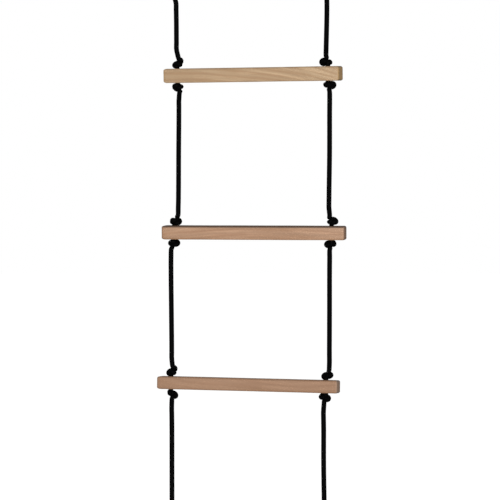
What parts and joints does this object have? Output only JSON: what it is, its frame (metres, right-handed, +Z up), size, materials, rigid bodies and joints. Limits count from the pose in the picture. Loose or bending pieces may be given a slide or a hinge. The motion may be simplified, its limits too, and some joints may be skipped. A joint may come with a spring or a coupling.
{
  "type": "escape rope ladder",
  "caption": "Rope ladder for escape and climbing: square wooden rungs held by overhand knots on taut black ropes, with snap hooks at the top.",
  "frame": {"origin": "midway between the insides of the two snap hooks' top bows, where the ladder hangs", "axes": "+Z up, rungs along X, the ladder's front faces -Y"},
  "size_m": [0.3596, 0.0671, 1.2368],
  "materials": {
    "beech": "sanded and lightly oiled, rounded edges",
    "black_rope": "braided polypropylene, matt black",
    "hook_steel": "bright zinc plated",
    "spring_steel": "drawn wire"
  },
  "bodies": {
    "hooks": {"hook_body_left": "hook_steel", "hook_body_right": "hook_steel", "gate_pin_left": "hook_steel", "gate_pin_right": "hook_steel"},
    "gate_left": {"hook_gate_left": "hook_steel", "gate_spring_left": "spring_steel", "gate_plunger_left": "hook_steel"},
    "gate_right": {"hook_gate_right": "hook_steel", "gate_spring_right": "spring_steel", "gate_plunger_right": "hook_steel"},
    "rope_eyes": {"rope_eye_left": "black_rope", "rope_eye_right": "black_rope", "eye_knot_left": "black_rope", "eye_knot_right": "black_rope"},
    "rope_1_left": {"rope_1_left": "black_rope"},
    "rope_1_right": {"rope_1_right": "black_rope"},
    "upper_knots_1": {"knot_1_upper_left": "black_rope", "knot_1_upper_right": "black_rope"},
    "rung_1": {"rung_1": "beech", "rope_in_rung_1_left": "black_rope", "rope_in_rung_1_right": "black_rope"},
    "lower_knots_1": {"knot_1_lower_left": "black_rope", "knot_1_lower_right": "black_rope"},
    "rope_2_left": {"rope_2_left": "black_rope"},
    "rope_2_right": {"rope_2_right": "black_rope"},
    "upper_knots_2": {"knot_2_upper_left": "black_rope", "knot_2_upper_right": "black_rope"},
    "rung_2": {"rung_2": "beech", "rope_in_rung_2_left": "black_rope", "rope_in_rung_2_right": "black_rope"},
    "lower_knots_2": {"knot_2_lower_left": "black_rope", "knot_2_lower_right": "black_rope"},
    "rope_3_left": {"rope_3_left": "black_rope"},
    "rope_3_right": {"rope_3_right": "black_rope"},
    "upper_knots_3": {"knot_3_upper_left": "black_rope", "knot_3_upper_right": "black_rope"},
    "rung_3": {"rung_3": "beech", "rope_in_rung_3_left": "black_rope", "rope_in_rung_3_right": "black_rope"},
    "lower_knots_3": {"knot_3_lower_left": "black_rope", "knot_3_lower_right": "black_rope"},
    "rope_4_left": {"rope_4_left": "black_rope"},
    "rope_4_right": {"rope_4_right": "black_rope"},
    "upper_knots_4": {"knot_4_upper_left": "black_rope", "knot_4_upper_right": "black_rope"},
    "rung_4": {"rung_4": "beech", "rope_in_rung_4_left": "black_rope", "rope_in_rung_4_right": "black_rope", "knot_4_lower_left": "black_rope", "knot_4_lower_right": "black_rope", "rope_tail_left": "black_rope", "rope_tail_right": "black_rope"}
  },
  "joints": [
    {"name": "hook_gate_left_open", "type": "hinge", "parent": "hooks", "child": "gate_left", "pos_m": [-0.15923, 0, -0.05113], "axis": [0, 1, 0], "range_deg": [0, 28], "stiffness_Nm_per_rad": 0.3, "springref_deg": -28.65},
    {"name": "hook_gate_right_open", "type": "hinge", "parent": "hooks", "child": "gate_right", "pos_m": [0.15923, 0, -0.05113], "axis": [0, -1, 0], "range_deg": [0, 28], "stiffness_Nm_per_rad": 0.3, "springref_deg": -28.65},
    {"name": "ladder_swing", "type": "hinge", "parent": "hooks", "child": "rope_eyes", "pos_m": [0, 0, -0.068], "axis": [1, 0, 0], "range_deg": [-90, 90]},
    {"name": "bay_1_sway", "type": "hinge", "parent": "rope_eyes", "child": "rope_1_left", "pos_m": [-0.149, 0, -0.121], "axis": [0, 1, 0], "range_deg": [-35, 35]},
    {"name": "bay_1_sway_right", "type": "hinge", "parent": "rope_eyes", "child": "rope_1_right", "pos_m": [0.149, 0, -0.121], "axis": [0, 1, 0], "range_deg": [-35, 35]},
    {"name": "bay_1_level", "type": "hinge", "parent": "rope_1_left", "child": "upper_knots_1", "pos_m": [-0.14687, 0.01524, -0.25769], "axis": [0, 1, 0], "range_deg": [-35, 35]},
    {"name": "fold_above_rung_1", "type": "hinge", "parent": "upper_knots_1", "child": "rung_1", "pos_m": [0.00216, -0.00173, -0.25926], "axis": [-0.9935, 0.1132, 0.0105], "range_deg": [-90, 90]},
    {"name": "fold_below_rung_1", "type": "hinge", "parent": "rung_1", "child": "lower_knots_1", "pos_m": [0.00204, 0.00173, -0.30834], "axis": [-0.9935, 0.1132, 0.0105], "range_deg": [-90, 90]},
    {"name": "bay_2_sway", "type": "hinge", "parent": "lower_knots_1", "child": "rope_2_left", "pos_m": [-0.14699, 0.01871, -0.30677], "axis": [0, 1, 0], "range_deg": [-35, 35]},
    {"name": "bay_2_sway_right", "type": "hinge", "parent": "lower_knots_1", "child": "rope_2_right", "pos_m": [0.15107, -0.01524, -0.30991], "axis": [0, 1, 0], "range_deg": [-35, 35]},
    {"name": "bay_2_level", "type": "hinge", "parent": "rope_2_left", "child": "upper_knots_2", "pos_m": [-0.14654, -0.0065, -0.55455], "axis": [0, 1, 0], "range_deg": [-35, 35]},
    {"name": "fold_above_rung_2", "type": "hinge", "parent": "upper_knots_2", "child": "rung_2", "pos_m": [0.00337, -0.00126, -0.55533], "axis": [0.9994, 0.0349, -0.0052], "range_deg": [-90, 90]},
    {"name": "fold_below_rung_2", "type": "hinge", "parent": "rung_2", "child": "lower_knots_2", "pos_m": [0.00303, 0.00126, -0.60367], "axis": [0.9994, 0.0349, -0.0052], "range_deg": [-90, 90]},
    {"name": "bay_3_sway", "type": "hinge", "parent": "lower_knots_2", "child": "rope_3_left", "pos_m": [-0.14688, -0.00397, -0.60288], "axis": [0, 1, 0], "range_deg": [-35, 35]},
    {"name": "bay_3_sway_right", "type": "hinge", "parent": "lower_knots_2", "child": "rope_3_right", "pos_m": [0.15294, 0.0065, -0.60445], "axis": [0, 1, 0], "range_deg": [-35, 35]},
    {"name": "bay_3_level", "type": "hinge", "parent": "rope_3_left", "child": "upper_knots_3", "pos_m": [-0.15531, 0.00354, -0.83933], "axis": [0, 1, 0], "range_deg": [-35, 35]},
    {"name": "fold_above_rung_3", "type": "hinge", "parent": "upper_knots_3", "child": "rung_3", "pos_m": [-0.00535, 0.0004, -0.84091], "axis": [-0.9997, 0.0209, 0.0105], "range_deg": [-90, 90]},
    {"name": "fold_below_rung_3", "type": "hinge", "parent": "rung_3", "child": "lower_knots_3", "pos_m": [-0.00585, -0.0004, -0.88709], "axis": [-0.9997, 0.0209, 0.0105], "range_deg": [-90, 90]},
    {"name": "bay_4_sway", "type": "hinge", "parent": "lower_knots_3", "child": "rope_4_left", "pos_m": [-0.15581, 0.00274, -0.88552], "axis": [0, 1, 0], "range_deg": [-35, 35]},
    {"name": "bay_4_sway_right", "type": "hinge", "parent": "lower_knots_3", "child": "rope_4_right", "pos_m": [0.14411, -0.00354, -0.88867], "axis": [0, 1, 0], "range_deg": [-35, 35]},
    {"name": "bay_4_level", "type": "hinge", "parent": "rope_4_left", "child": "upper_knots_4", "pos_m": [-0.15391, 0, -1.13028], "axis": [0, 1, 0], "range_deg": [-35, 35]},
    {"name": "fold_above_rung_4", "type": "hinge", "parent": "upper_knots_4", "child": "rung_4", "pos_m": [-0.00392, 0, -1.1308], "axis": [1, 0, -0.0035], "range_deg": [-90, 90]}
  ],
  "couplings": [
    {"joint": "bay_1_sway_right", "follows": "bay_1_sway", "ratio": 1},
    {"joint": "bay_1_level", "follows": "bay_1_sway", "ratio": -1},
    {"joint": "bay_2_sway_right", "follows": "bay_2_sway", "ratio": 1},
    {"joint": "bay_2_level", "follows": "bay_2_sway", "ratio": -1},
    {"joint": "bay_3_sway_right", "follows": "bay_3_sway", "ratio": 1},
    {"joint": "bay_3_level", "follows": "bay_3_sway", "ratio": -1},
    {"joint": "bay_4_sway_right", "follows": "bay_4_sway", "ratio": 1},
    {"joint": "bay_4_level", "follows": "bay_4_sway", "ratio": -1}
  ]
}
